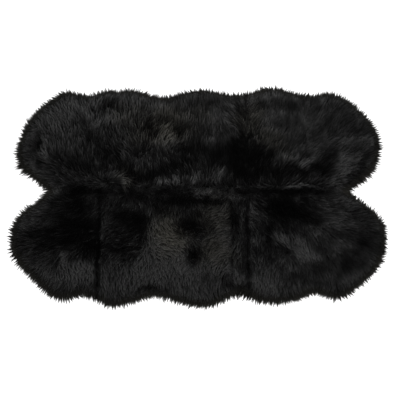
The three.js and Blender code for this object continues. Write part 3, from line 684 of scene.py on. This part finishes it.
EDGES = {BACK: smooth_line(BACK_EDGE, BACK), FRONT: smooth_line(FRONT_EDGE, FRONT)}


def distance_inside(x, y, line):
    """How far each point lies inside the line; it is negative outside."""
    nearest = np.full(x.shape, np.inf)
    crossings = np.zeros(x.shape, int)
    for (ax, ay), (bx, by) in zip(line[:-1], line[1:]):
        length = (bx - ax) ** 2 + (by - ay) ** 2
        t = np.clip(((x - ax) * (bx - ax) + (y - ay) * (by - ay)) / length, 0, 1)
        nearest = np.minimum(nearest, np.hypot(x - ax - t * (bx - ax), y - ay - t * (by - ay)))
        spans = (ay > y) != (by > y)
        with np.errstate(divide="ignore", invalid="ignore"):
            crossing_x = ax + (y - ay) / (by - ay) * (bx - ax)
        crossings += spans & (x < crossing_x)
    return np.where(crossings % 2 == 1, nearest, -nearest)


# How far inside the cut edge each point lies, worked out once on a grid, and its slopes
GRID_STEP = 0.005
GRID_X = np.arange(-0.98, 0.985, GRID_STEP)
GRID_Y = np.arange(-0.65, 0.655, GRID_STEP)


def rim_grid():
    """How far each point of the grid lies inside its pelt's cut edge, which leaves out the seam."""
    grid_x, grid_y = np.meshgrid(GRID_X, GRID_Y, indexing="ij")
    inside = np.empty(grid_x.shape)
    for side, line in EDGES.items():
        own = (np.sign(grid_y) == side) | ((side == BACK) & (np.abs(grid_y) < TINY))
        x = grid_x[own]
        y = grid_y[own] + TINY * side
        from_edge = np.abs(distance_inside(x, y, line))
        within = distance_inside(x, y, np.vstack([line, line[:1]])) > 0
        inside[own] = np.where(within, from_edge, -from_edge)
    return inside


RIM_GRID = rim_grid()
SLOPE_X, SLOPE_Y = np.gradient(RIM_GRID, GRID_STEP)


def sample(grid, x, y):
    """The grid's value at each point, between its four neighbours."""
    u = np.clip((x - GRID_X[0]) / GRID_STEP, 0, len(GRID_X) - 1 - TINY)
    v = np.clip((y - GRID_Y[0]) / GRID_STEP, 0, len(GRID_Y) - 1 - TINY)
    i = u.astype(int)
    j = v.astype(int)
    s = u - i
    t = v - j
    return (
        grid[i, j] * (1 - s) * (1 - t)
        + grid[i + 1, j] * s * (1 - t)
        + grid[i, j + 1] * (1 - s) * t
        + grid[i + 1, j + 1] * s * t
    )


def crease_weight(crease, x, y, reach):
    """One on the crease, and nothing away from it."""
    beyond = np.maximum(np.maximum(crease.start - y, y - crease.end), 0.0)
    return bell(x - crease.x, reach) * bell(beyond, CREASE_FADE)


def patch_weight(patch, x, y):
    """One over most of the patch, which falls off softly at its rim."""
    around = math.radians(patch.turned)
    dx = x - patch.x
    dy = y - patch.y
    ahead = (dx * math.cos(around) + dy * math.sin(around)) / patch.long
    aside = (dy * math.cos(around) - dx * math.sin(around)) / patch.wide
    return np.exp(-0.5 * (ahead**2 + aside**2) ** PATCH_FIRMNESS)


def pile_height(x, y):
    """The height of the brushed pile over the floor, away from the rim."""
    height = PILE_HEIGHT + wavering(x, y, HEIGHT_WAVERS)
    for hill in HILLS:
        height = height + hill.rise * bell(np.hypot(x - hill.x, y - hill.y), hill.spread)
    for crease in CREASES:
        height = height - crease.depth * crease_weight(crease, x, y, crease.width)
    return height - SEAM_DIP_DEPTH * bell(y, SEAM_DIP_WIDTH)


def surface_height(x, y):
    """The height of the fur, which rounds down to the rim and thins out on the floor."""
    inside = sample(RIM_GRID, x, y)
    share = np.clip(inside / SHOULDER_RUN, 0.0, 1.0)
    rounded = RIM_HEIGHT + (pile_height(x, y) - RIM_HEIGHT) * np.sqrt(1 - (1 - share) ** 2)
    on_floor = RIM_HEIGHT * np.clip(1 + inside / TUFT_REACH, RIM_THINNEST, 1.0)
    return np.where(inside > 0, rounded, on_floor)


def parting(x, y):
    """How far the fur parts at the seam, a crease or a pit: nothing away from there."""
    parted = bell(y, SEAM_PARTING)
    for crease in CREASES:
        here = crease.part * crease_weight(crease, x, y, CREASE_PARTING)
        parted = np.maximum(parted, here)
    for pit in PITS:
        away = np.hypot(x - pit.x, y - pit.y)
        parted = np.maximum(parted, bell(away, PIT_PARTING * pit.spread))
    return parted


def tousled(x, y):
    """How far the locks differ from each other: one, or less where they lie sleek."""
    share = np.ones(x.shape)
    for area in TOUSLED_AREAS:
        share = share * (1.0 + area.more * patch_weight(area, x, y))
    return share


def brownness(x, y):
    """How brown the fibres are, from nothing to one."""
    ragged_x = x + wavering(x, y, BROWN_WAVERS_X)
    ragged_y = y + wavering(x, y, BROWN_WAVERS_Y)
    share = np.zeros(x.shape)
    for area in BROWN_AREAS:
        share = np.maximum(share, area.more * patch_weight(area, ragged_x, ragged_y))
    return share


def off_the_spine(x, y):
    """The fur as it is brushed off the middle of the rug to all sides."""
    u = x - np.clip(x, -SPINE_HALF, SPINE_HALF)
    size = np.hypot(u, y) + SPINE_STANDING
    return u / size, y / size, wavering(x, y, TONE_WAVERS)


def out_at_the_rim(x, y):
    """What the rim adds: the fur turns outward over it, and painted light makes it lighter."""
    near = bell(sample(RIM_GRID, x, y), RIM_TURN_REACH)
    pull = -RIM_TURN_PULL * near
    # painted light near the rim
    return pull * sample(SLOPE_X, x, y), pull * sample(SLOPE_Y, x, y), RIM_PAINTED_LIGHT * near


def in_the_patches(x, y):
    """What the patches add, with ragged outlines: the lie, and painted highlights and shade."""
    ragged_x = x + wavering(x, y, PATCH_WAVERS_X)
    ragged_y = y + wavering(x, y, PATCH_WAVERS_Y)
    u = v = tone = np.zeros(x.shape)
    for patch in PATCHES:
        near = patch_weight(patch, ragged_x, ragged_y)
        heading = math.radians(patch.heading)
        u = u + patch.pull * near * math.cos(heading)
        v = v + patch.pull * near * math.sin(heading)
        # the painted highlight or painted shade of each patch
        tone = tone + patch.tone * near
    return u, v, tone


def round_the_pits(x, y):
    """What the pits add: the fur fans out from each, and painted shade darkens it."""
    u = v = tone = np.zeros(x.shape)
    for pit in PITS:
        dx = x - pit.x
        dy = y - pit.y
        away = np.hypot(dx, dy) + TINY
        near = bell(away, PIT_FAN_REACH * pit.spread)
        u = u + pit.fan * near * dx / away
        v = v + pit.fan * near * dy / away
        # painted shade in the pit
        tone = tone - pit.dark * bell(away, pit.spread)
    return u, v, tone


def along_the_creases(x, y):
    """What the creases add: the fur parts to their sides, and painted shade darkens them here and
    there.
    """
    u = tone = np.zeros(x.shape)
    broken = CREASE_SHADE + wavering(x, y, CREASE_WAVERS)
    for crease in CREASES:
        parted = crease_weight(crease, x, y, CREASE_REACH)
        u = u + crease.part * parted * np.tanh((x - crease.x) / CREASE_TURN)
        # painted shade along the crease
        tone = tone - crease.dark * broken * crease_weight(crease, x, y, CREASE_SHADE_WIDTH)
    return u, np.zeros(x.shape), tone


def over_the_seam(x, y):
    """What the seam adds: the back pelt's fur laps over it, and painted shade lies in front of it.
    """
    level = np.zeros(x.shape)
    lap = np.where(y > 0, bell(y - SEAM_LAP_START, SEAM_LAP_WIDTH), 0.0)
    shade = SEAM_SHADE + wavering(x, level, SEAM_SHADE_WAVERS)
    return (
        lap * wavering(x, level, SEAM_LEAN_WAVERS),
        -SEAM_LAP_PULL * lap,
        # painted shade in front of the seam
        -shade * bell(y - SEAM_SHADE_PLACE, SEAM_SHADE_WIDTH),
    )


def brushed(x, y):
    """The way the fur lies at each point, as unit vectors, and its tone, painted light and shade
    among it.
    """
    u, v, tone = off_the_spine(x, y)
    for lie in (out_at_the_rim, in_the_patches, round_the_pits, along_the_creases, over_the_seam):
        more_u, more_v, more_tone = lie(x, y)
        u = u + more_u
        v = v + more_v
        tone = tone + more_tone
    heading = np.arctan2(v, u) + wavering(x, y, LIE_WAVERS) * tousled(x, y)
    return np.cos(heading), np.sin(heading), tone


# Hairs, from root to tip, and locks: where they are, which way they lie, how far inside the
# cut edge, and how loose, long, parted and brown they are
Hairs = namedtuple("Hairs", "root tip radius tone brown spin")
Locks = namedtuple("Locks", "x y u v inside loose size parted brown")


def own_side(y, side):
    """Keeps roots on their pelt's own side of the seam."""
    return side * np.maximum(side * y, SEAM_CLEARANCE)


def lay_out_locks(side, start, end, rng):
    """The locks of a stretch of a pelt, in staggered rows that are well shaken up."""
    xs = np.arange(-FIELD_HALF, FIELD_HALF, LOCK_SPACING)
    ys = np.arange(FIELD_START, FIELD_END, LOCK_SPACING * math.sqrt(3) / 2)
    x, y = np.meshgrid(xs, ys, indexing="ij")
    x = x + 0.5 * LOCK_SPACING * (np.arange(len(ys)) % 2)[None, :]
    x = x.ravel() + rng.uniform(-LOCK_JITTER, LOCK_JITTER, x.size) * LOCK_SPACING
    y = y.ravel() + rng.uniform(-LOCK_JITTER_TO_SEAM, LOCK_JITTER, y.size) * LOCK_SPACING
    y = side * y
    inside = sample(RIM_GRID, x, y)
    keep = (inside > RIM_MARGIN) & (np.abs(y) > SEAM_MARGIN) & (x >= start) & (x < end)
    x = x[keep]
    y = y[keep]
    u, v, _ = brushed(x, y)
    loose = tousled(x, y)
    spread = LOCK_TURN * loose + SEAM_TURN * bell(y, SEAM_TURN_WIDTH)
    u, v = turned(u, v, rng.normal(0, 1, len(x)) * spread)
    size = rng.uniform(*LOCK_SIZES, len(x))
    return Locks(x, y, u, v, inside[keep], loose, size, parting(x, y), brownness(x, y))


def coat_hairs(coat, locks, side, rng):
    """The hairs of one coat in these locks."""
    number = len(locks.x)
    room = locks.inside + TUFT_REACH * rng.uniform(*OVERHANG, number)
    reach = np.minimum(coat.length * locks.size, np.maximum(room, SHORTEST_REACH))
    ahead = TONE_PLACE * reach
    _, _, tone = brushed(locks.x + ahead * locks.u, locks.y + ahead * locks.v)
    contrast = locks.loose * (1.0 + DARK_CONTRAST * np.clip(tone / DARK_TONE, 0.0, 1.0))
    lift = 1.0 - LIFT_BY_TONE * tone + rng.normal(0, LIFT_SPREAD, number)
    tone = BASE_TONE + TONE_SHARE * tone - CONTRAST_GAIN * (contrast**2 - 1.0)
    tone = tone + contrast * rng.normal(0, LOCK_CONTRAST, number)

    lock = np.repeat(np.arange(number), coat.hairs)
    count = len(lock)
    loose = np.minimum(locks.loose[lock], 1.0)
    parted = locks.parted[lock]
    angle = rng.uniform(0, 2 * math.pi, count)
    away = np.sqrt(rng.uniform(0, 1, count))
    dx = LOCK_RADIUS * away * np.cos(angle)
    dy = LOCK_RADIUS * away * np.sin(angle)
    gather = 1.0 - loose * rng.uniform(*GATHERING, count)
    ahead = reach[lock] * rng.uniform(*HAIR_LENGTHS, count)
    stray = rng.normal(0, 1, count) * parted * coat.stray
    ahead = ahead * (1.0 - STRAY_SHORTENING * np.minimum(np.abs(stray), 1.0))
    u, v = turned(locks.u[lock], locks.v[lock], stray)
    root_x = locks.x[lock] + dx
    root_y = own_side(locks.y[lock] + dy, side)
    tip_x = locks.x[lock] + u * ahead + gather * dx
    tip_y = locks.y[lock] + v * ahead + gather * dy
    low = coat.low * rng.uniform(*ROOT_HEIGHTS, count) * (1.0 - PARTED_SINKING * parted)
    high = coat.high * lift[lock] * (1.0 - LOCK_ROUNDING * away**2)
    high = high * (1.0 + loose * rng.uniform(*TIP_UNEVENNESS, count))
    radius = coat.radius * rng.uniform(*HAIR_WIDTHS, count)
    # painted shade at the lock's edge, and each hair's own difference in tone
    darker = LOCK_EDGE_PAINTED_SHADE * (away**2 - 0.5) + rng.normal(0, HAIR_CONTRAST, count)
    return Hairs(
        np.stack([root_x, root_y, surface_height(root_x, root_y) * low], axis=1),
        np.stack([tip_x, tip_y, surface_height(tip_x, tip_y) * high], axis=1),
        radius,
        np.clip(tone[lock] - contrast[lock] * darker, 0.0, 1.0),
        locks.brown[lock],
        rng.uniform(0, 2 * math.pi, count),
    )


def pile_hairs(side, start, end, seed):
    """The fur of a stretch of a pelt, one set of hairs for each coat."""
    rng = np.random.default_rng(seed)
    locks = lay_out_locks(side, start, end, rng)
    return [coat_hairs(coat, locks, side, rng) for coat in (UNDERCOAT, TOP_COAT)]


def tuft_hairs(kind, side, rng):
    """The hairs of one kind of tuft, all along the rim of a pelt; all of them are brown ones."""
    line = EDGES[side]
    steps = np.linalg.norm(np.diff(line, axis=0), axis=1)
    travelled = np.concatenate([[0.0], np.cumsum(steps)])
    tufts = int(travelled[-1] / kind.spacing)
    at = (np.arange(tufts) + 0.5 + rng.uniform(-TUFT_JITTER, TUFT_JITTER, tufts)) * kind.spacing
    x = np.interp(at, travelled, line[:, 0])
    y = np.interp(at, travelled, line[:, 1])
    out_u = -sample(SLOPE_X, x, y)
    out_v = -sample(SLOPE_Y, x, y)
    size = np.hypot(out_u, out_v) + TINY
    turn = rng.normal(0, TUFT_TURN, tufts) + wavering(x, y, TUFT_TURN_WAVERS)
    out_u, out_v = turned(out_u / size, out_v / size, turn)
    reach = rng.uniform(kind.shortest, kind.longest, tufts)
    reach = reach * (TUFT_LENGTH + wavering(x, y, TUFT_LENGTH_WAVERS))
    for bulge in BULGES:
        near = bell(np.hypot(x - bulge.x, y - bulge.y), bulge.spread)
        reach = reach * (1.0 + bulge.more * near)
    crossing = side * (y + out_v * reach) < -SEAM_CROSSING
    out_v = np.where(crossing, SEAM_SLANT * out_v, out_v)
    out_u = np.where(crossing, np.sign(x) * np.sqrt(1 - out_v**2), out_u)
    _, _, tone = brushed(x, y)
    tone = BASE_TONE + TUFT_TONE + TONE_SHARE * tone + rng.normal(0, TUFT_CONTRAST, tufts)

    tuft = np.repeat(np.arange(tufts), kind.hairs)
    count = len(tuft)
    u = out_u[tuft]
    v = out_v[tuft]
    back = rng.uniform(*TUFT_ROOTS, count)
    across = rng.normal(0, kind.spread, count)
    pinched = across * rng.uniform(0.0, kind.point, count)
    ahead = reach[tuft] * rng.uniform(*TUFT_HAIR_LENGTHS, count) ** TUFT_FULLNESS
    root_x = x[tuft] - u * back - v * across
    root_y = own_side(y[tuft] - v * back + u * across, side)
    tip_x = x[tuft] + u * ahead - v * pinched
    tip_y = y[tuft] + v * ahead + u * pinched
    level = rng.uniform(0, 1, count)
    root_z = TUFT_ROOT_LOWEST + TUFT_ROOT_SHARE * level * surface_height(root_x, root_y)
    tip_z = TUFT_TIP_LOWEST + TUFT_TIP_SHARE * level * surface_height(tip_x, tip_y)
    return Hairs(
        np.stack([root_x, root_y, root_z], axis=1),
        np.stack([tip_x, tip_y, tip_z], axis=1),
        TOP_COAT.radius * rng.uniform(*TUFT_HAIR_WIDTHS, count),
        np.clip(tone[tuft] + rng.normal(0, TUFT_HAIR_CONTRAST, count), 0.0, 1.0),
        np.ones(count),
        rng.uniform(0, 2 * math.pi, count),
    )


def rim_hairs(side, seed):
    """The fur that spreads over the floor round a pelt's rim, one set for each kind of tuft."""
    rng = np.random.default_rng(seed)
    return [tuft_hairs(kind, side, rng) for kind in TUFTS[side]]


def cell_number(values, cells):
    """Which of the equal cells between nothing and one each value lies in."""
    return np.minimum(np.floor(values * cells), cells - 1)[:, None, None]


def fur_mesh(name, sets):
    """Three-sided hairs that taper to a point, joined into one mesh."""
    hairs = Hairs(*(np.concatenate(part) for part in zip(*sets)))
    count = len(hairs.root)
    run = unit(hairs.tip - hairs.root)
    side = unit(np.cross(run, (0.0, 0.0, 1.0)) + (TINY, 0.0, 0.0))
    over = np.cross(side, run)
    corners = np.empty((count, 4, 3))
    for k in range(3):
        angle = hairs.spin + k * 2 * math.pi / 3
        offset = side * np.cos(angle)[:, None] + over * np.sin(angle)[:, None]
        corners[:, k] = hairs.root + offset * hairs.radius[:, None]
    corners[:, 3] = hairs.tip
    corners[:, :, 2] = np.maximum(corners[:, :, 2], FLOOR_CLEARANCE)
    faces = np.array([(0, 3, 1), (1, 3, 2), (2, 3, 0)])
    # Where the corners of the three sides lie across the hair's cell of the bake
    across = np.array([(0.0, 0.5, 1.0), (1.0, 1.5, 2.0), (2.0, 2.5, 3.0)]) / 3.0
    along = np.array([0.0, 0.0, 0.0, 1.0])
    loops = (faces[None] + 4 * np.arange(count)[:, None, None]).ravel()
    mesh = bpy.data.meshes.new(name)
    mesh.vertices.add(4 * count)
    mesh.vertices.foreach_set("co", corners.astype(np.float32).ravel())
    mesh.loops.add(len(loops))
    mesh.loops.foreach_set("vertex_index", loops.astype(np.int32))
    mesh.polygons.add(3 * count)
    mesh.polygons.foreach_set("loop_start", np.arange(0, len(loops), 3, dtype=np.int32))
    mesh.polygons.foreach_set("use_smooth", np.ones(3 * count, bool))
    in_column = COLUMN_MARGIN + (1 - 2 * COLUMN_MARGIN) * across[None]
    in_row = ROW_MARGIN + (1 - 2 * ROW_MARGIN) * along[faces][None]
    u = (cell_number(hairs.tone, TONE_COLUMNS) + in_column) / TONE_COLUMNS
    v = (cell_number(hairs.brown, BROWN_ROWS) + in_row) / BROWN_ROWS
    layer = mesh.uv_layers.new(name="OFBake")
    layer.data.foreach_set("uv", np.stack([u, v], axis=-1).astype(np.float32).ravel())
    corner_values = {
        "tone": np.repeat(hairs.tone, 4),
        "brown": np.repeat(hairs.brown, 4),
        "along": np.tile(along, count),
    }
    for label, values in corner_values.items():
        attribute = mesh.attributes.new(label, "FLOAT", "POINT")
        attribute.data.foreach_set("value", values.astype(np.float32))
    mesh.update(calc_edges=True)
    mesh.validate()
    return mesh


def pelt_outline(side, inset):
    """The closed outline of a pelt, this far inside its cut edge."""
    x, y = EDGES[side].T
    x, y = x + inset * sample(SLOPE_X, x, y), y + inset * sample(SLOPE_Y, x, y)
    seam = side * (0.5 * SEAM_GAP + SEAM_INSET * inset)
    y = side * np.maximum(side * y, side * seam)
    start = np.array([x[0], seam])
    end = np.array([x[-1], seam])
    along_seam = np.linspace(end, start, SEAM_POINTS)
    return np.vstack([np.stack([x, y], axis=1)[1:-1], along_seam])


def lofted_mesh(name, outline, inner, top, bottom):
    """A closed flat form: one set of triangles at the height top(x, y) and one at bottom."""
    points = [Vector(p) for p in np.vstack([outline, inner])]
    ring = list(range(len(outline)))
    sides = [(k, (k + 1) % len(ring)) for k in ring]
    flat, _, triangles, _, _, _ = delaunay_2d_cdt(points, sides, [], 1, TINY)
    plan = np.array([(p.x, p.y) for p in flat])
    upper = top(plan[:, 0], plan[:, 1])
    corners = np.vstack([
        np.column_stack([plan, upper]),
        np.column_stack([plan, np.full(len(plan), bottom)]),
    ])
    shift = len(plan)
    faces = [tuple(t) for t in triangles]
    faces += [tuple(i + shift for i in reversed(t)) for t in triangles]
    used = {(t[k], t[(k + 1) % 3]): None for t in triangles for k in range(3)}
    faces += [(b, a, a + shift, b + shift) for a, b in used if (b, a) not in used]
    mesh = bpy.data.meshes.new(name)
    mesh.from_pydata(corners.tolist(), [], faces)
    mesh.polygons.foreach_set("use_smooth", np.ones(len(faces), bool))
    mesh.update()
    return mesh


def new_object(name, mesh, material):
    piece = bpy.data.objects.new(name, mesh)
    scene.collection.objects.link(piece)
    mesh.materials.append(material)
    return piece


class Value:
    """A node socket in an expression: each operator adds one Math node."""

    def __init__(self, paint, socket):
        self.paint = paint
        self.socket = socket

    def _math(self, operation, first, second):
        settings = {"operation": operation}
        return self.paint.node("ShaderNodeMath", settings, {0: first, 1: second})

    def __add__(self, other):
        return self._math("ADD", self, other)

    __radd__ = __add__

    def __sub__(self, other):
        return self._math("SUBTRACT", self, other)

    def __rsub__(self, other):
        return self._math("SUBTRACT", other, self)

    def __mul__(self, other):
        return self._math("MULTIPLY", self, other)

    __rmul__ = __mul__


class Paint:
    """A material's node tree."""

    def __init__(self, name):
        self.material = bpy.data.materials.new(name)
        self.material.use_nodes = True
        self.tree = self.material.node_tree
        self.shader = self.tree.nodes["Principled BSDF"]

    def node(self, kind, settings=None, inputs=None, output=0):
        """Adds a node with its settings and its sockets' values or links."""
        made = self.tree.nodes.new(kind)
        for key, value in (settings or {}).items():
            if key == "stops":
                ramp = made.color_ramp
                for place, _ in value[1:-1]:
                    ramp.elements.new(place)
                for element, (place, colour) in zip(ramp.elements, value):
                    element.position = place
                    element.color = (*colour, 1.0)
            else:
                setattr(made, key, value)
        for key, value in (inputs or {}).items():
            self.feed(made.inputs[key], value)
        return Value(self, made.outputs[output])

    def feed(self, socket, value):
        if isinstance(value, Value):
            self.tree.links.new(value.socket, socket)
        else:
            socket.default_value = value

    def finish(self, **sockets):
        """Feeds the shader's sockets and gives the material."""
        for label, value in sockets.items():
            self.feed(self.shader.inputs[label.replace("_", " ")], value)
        return self.material


def fur_material():
    """Black fibres, lighter at the tip, grey or a little brown."""
    paint = Paint("black shag fibre")
    # The tone holds the fibres' differences with the painted light and shade of the pile
    tone = paint.node("ShaderNodeAttribute", {"attribute_name": "tone"}, output="Fac")
    along = paint.node("ShaderNodeAttribute", {"attribute_name": "along"}, output="Fac")
    place = paint.node("ShaderNodeTexCoord", output="Object")
    fibres = paint.node(
        "ShaderNodeTexNoise", {}, {"Vector": place, "Scale": 420.0, "Detail": 3.0}, "Fac"
    )
    shade = tone * (ROOT_SHADE + (1 - ROOT_SHADE) * along) + FIBRE_GRAIN * (fibres - 0.5)
    brown = paint.node("ShaderNodeAttribute", {"attribute_name": "brown"}, output="Fac")
    stops = [(at, (level, level, level)) for at, level in FIBRE_SHADES]
    grey = paint.node("ShaderNodeValToRGB", {"stops": stops}, {"Fac": shade})
    colour = paint.node(
        "ShaderNodeMix",
        {"data_type": "RGBA", "blend_type": "MULTIPLY"},
        {0: brown, 6: grey, 7: BROWN_TINT},
        2,
    )
    bump = paint.node(
        "ShaderNodeBump", {}, {"Strength": 0.25, "Distance": 0.001, "Height": fibres}
    )
    return paint.finish(
        Base_Color=colour,
        Roughness=0.40 + 0.15 * fibres,
        Normal=bump,
        Specular_IOR_Level=0.03,
    )


def underfur_material():
    """Woolly and nearly black, with clumps."""
    paint = Paint("dense black underfur")
    place = paint.node("ShaderNodeTexCoord", output="Object")
    wool = paint.node(
        "ShaderNodeTexNoise", {}, {"Vector": place, "Scale": 260.0, "Detail": 4.0}, "Fac"
    )
    clumps = paint.node(
        "ShaderNodeTexNoise", {}, {"Vector": place, "Scale": 60.0, "Detail": 2.0}, "Fac"
    )
    colour = paint.node(
        "ShaderNodeValToRGB",
        {"stops": [(0.3, (0.0004, 0.0004, 0.0004)), (0.8, (0.0022, 0.0022, 0.0021))]},
        {"Fac": 0.6 * wool + 0.4 * clumps},
    )
    bump = paint.node(
        "ShaderNodeBump", {}, {"Strength": 0.8, "Distance": 0.003, "Height": wool + clumps}
    )
    return paint.finish(
        Base_Color=colour,
        Roughness=0.75 + 0.2 * wool,
        Normal=bump,
        Specular_IOR_Level=0.02,
    )


def knit(paint, place, direction, scale):
    """The lines of the knitting, one way."""
    return paint.node(
        "ShaderNodeTexWave",
        {"wave_type": "BANDS", "bands_direction": direction},
        {"Vector": place, "Scale": scale, "Distortion": 0.6, "Detail": 1.0},
        "Fac",
    )


def cloth_material():
    """A black knitted cloth with fine loops."""
    paint = Paint("knitted black backing")
    place = paint.node("ShaderNodeTexCoord", output="Object")
    loops = knit(paint, place, "X", 130.0) * knit(paint, place, "Y", 190.0)
    colour = paint.node(
        "ShaderNodeValToRGB",
        {"stops": [(0.0, (0.008, 0.008, 0.008)), (1.0, (0.030, 0.029, 0.028))]},
        {"Fac": loops},
    )
    bump = paint.node(
        "ShaderNodeBump", {}, {"Strength": 0.6, "Distance": 0.0006, "Height": loops}
    )
    return paint.finish(
        Base_Color=colour,
        Roughness=0.95 - 0.15 * loops,
        Normal=bump,
        Specular_IOR_Level=0.2,
    )


def floor_material():
    """Matt and nearly white."""
    paint = Paint("plain pale floor")
    place = paint.node("ShaderNodeTexCoord", output="Object")
    grain = paint.node("ShaderNodeTexNoise", {}, {"Vector": place, "Scale": 3.0}, "Fac")
    colour = paint.node(
        "ShaderNodeValToRGB",
        {"stops": [(0.3, (0.90, 0.90, 0.90)), (0.7, (0.93, 0.93, 0.93))]},
        {"Fac": grain},
    )
    return paint.finish(Base_Color=colour, Roughness=0.9, Specular_IOR_Level=0.1)


# Camera
camera_data = bpy.data.cameras.new("camera")
camera_data.lens = CAMERA_LENS
camera_data.sensor_width = CAMERA_SENSOR
camera = bpy.data.objects.new("camera", camera_data)
scene.collection.objects.link(camera)
back_off = Vector((0.0, -math.cos(CAMERA_ELEVATION), math.sin(CAMERA_ELEVATION)))
camera.location = CAMERA_AIM + CAMERA_DISTANCE * back_off
camera.rotation_mode = "QUATERNION"
camera.rotation_quaternion = (-back_off).to_track_quat("-Z", "Y")
scene.camera = camera

# Floor
FLOOR_HALF = 12
floor_corners = [
    (-FLOOR_HALF, -FLOOR_HALF, 0),
    (FLOOR_HALF, -FLOOR_HALF, 0),
    (FLOOR_HALF, FLOOR_HALF, 0),
    (-FLOOR_HALF, FLOOR_HALF, 0),
]
floor_mesh = bpy.data.meshes.new("floor")
floor_mesh.from_pydata(floor_corners, [], [(0, 1, 2, 3)])
floor = new_object("floor", floor_mesh, floor_material())

# Pelts
fibre = fur_material()
underfur = underfur_material()
backing = cloth_material()


def cloth_top(x, y):
    return np.full(x.shape, CLOTH_THICKNESS)


def cloth_piece(side, outline):
    name = "backing_" + NAMES[side]
    mesh = lofted_mesh(name, outline, np.empty((0, 2)), cloth_top, 0.0)
    return new_object(name, mesh, backing)


def underfur_top(x, y):
    sunk = 1 - PARTED_SINKING * parting(x, y)
    return CLOTH_THICKNESS + UNDERFUR_SHARE * surface_height(x, y) * sunk


def underfur_piece(side):
    """The dense short fur right over the cloth, which closes the gaps between the hairs."""
    x, y = np.meshgrid(
        np.arange(-UNDERFUR_HALF, UNDERFUR_HALF, UNDERFUR_CELL),
        np.arange(UNDERFUR_CELL, UNDERFUR_END, UNDERFUR_CELL),
    )
    x = x.ravel()
    y = side * y.ravel()
    inner = np.column_stack([x, y])[sample(RIM_GRID, x, y) > UNDERFUR_MARGIN]
    outline = pelt_outline(side, UNDERFUR_INSET)
    name = "underfur_" + NAMES[side]
    mesh = lofted_mesh(name, outline, inner, underfur_top, CLOTH_THICKNESS + UNDERFUR_LIFT)
    return new_object(name, mesh, underfur)


def pile_pieces(side):
    """The long pile, one piece for each stretch."""
    pieces = []
    for number, (place, start, end) in enumerate(STRETCHES):
        name = "pile_" + NAMES[side] + "_" + place
        hairs = pile_hairs(side, start, end, PILE_SEEDS[side] + number)
        pieces.append(new_object(name, fur_mesh(name, hairs), fibre))
    return pieces


def rim_piece(side):
    name = "rim_tufts_" + NAMES[side]
    return new_object(name, fur_mesh(name, rim_hairs(side, RIM_SEEDS[side])), fibre)


def pelt(side):
    """One pelt: its backing cloth, its underfur, its pile and its rim tufts."""
    node = "pelt_" + NAMES[side]
    outline = pelt_outline(side, 0.0)
    cloth = cloth_piece(side, outline)
    pieces = [underfur_piece(side), *pile_pieces(side), rim_piece(side)]
    for piece in [cloth, *pieces]:
        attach(piece, "root")
    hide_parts(node)


pelt(BACK)
pelt(FRONT)


def softbox(name, place, aim, size, power):
    data = bpy.data.lights.new(name, "AREA")
    data.shape = "RECTANGLE"
    data.size, data.size_y = size
    data.energy = power
    light = bpy.data.objects.new(name, data)
    scene.collection.objects.link(light)
    light.location = place
    light.rotation_mode = "QUATERNION"
    light.rotation_quaternion = (Vector(aim) - Vector(place)).to_track_quat("-Z", "Y")


# Light: a large softbox over the back of the rug, and a pale room
softbox(
    "softbox over the rug",
    place=(0.3, 0.3, 3.2),
    aim=(0.0, 0.0, 0.0),
    size=(2.6, 1.8),
    power=150,
)
world = bpy.data.worlds.new("pale room")
world.use_nodes = True
background = world.node_tree.nodes["Background"]
background.inputs["Color"].default_value = (1.0, 1.0, 1.0, 1.0)
background.inputs["Strength"].default_value = 0.45
scene.world = world
scene.view_settings.view_transform = "Standard"
